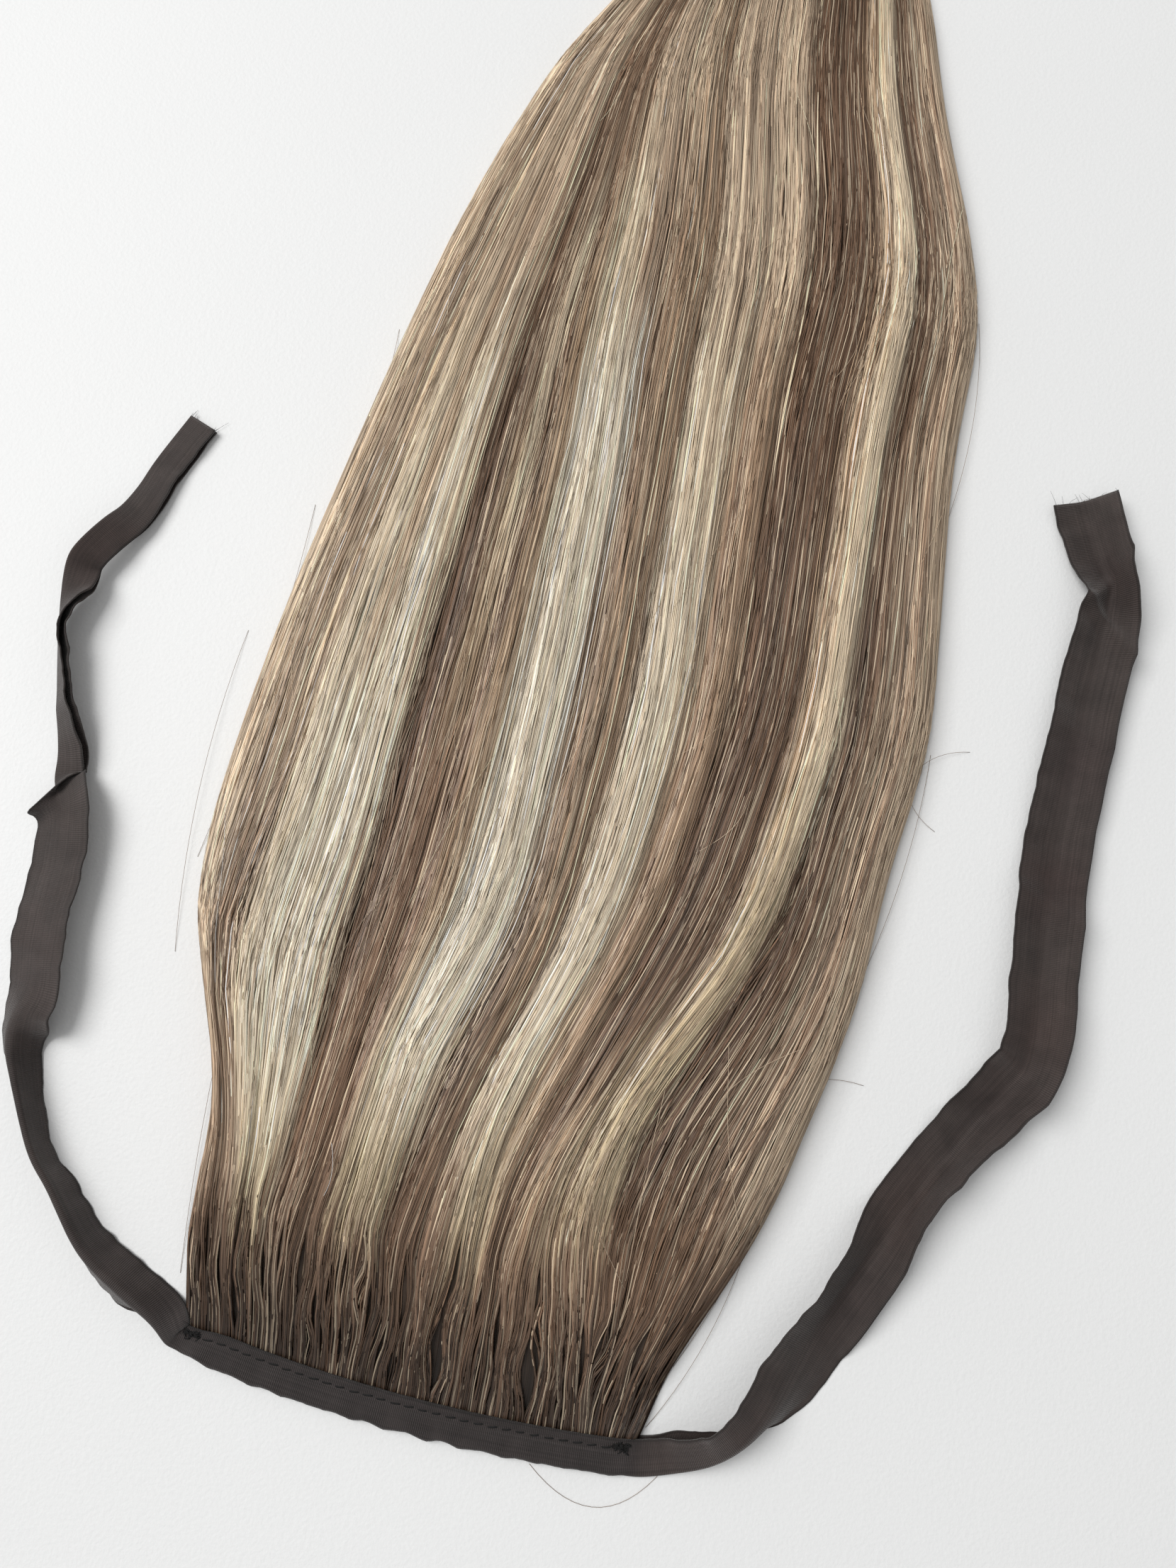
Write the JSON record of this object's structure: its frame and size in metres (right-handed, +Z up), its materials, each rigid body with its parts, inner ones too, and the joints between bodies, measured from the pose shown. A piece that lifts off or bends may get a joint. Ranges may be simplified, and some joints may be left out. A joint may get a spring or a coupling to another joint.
{
  "type": "ponytail hairpiece",
  "caption": "Long straight ponytail hairpiece: a wide hair weft sewn into a folded ribbon whose free ends are the ties.",
  "frame": {"origin": "middle of the band, on its flat back face, which lies on the table", "axes": "+X along the band towards the long tie, +Y along the hair from the band to its tips, +Z up off the table"},
  "size_m": [0.3414, 0.5681, 0.0196],
  "materials": {
    "ribbon": "ribbed weave, dark brown-grey, soft sheen",
    "hair": "straight hair, dark brown roots running into ash and platinum streaks"
  },
  "bodies": {
    "root": {"band": "ribbon", "left_tie": "ribbon", "right_tie": "ribbon", "hair": "hair"}
  },
  "joints": []
}
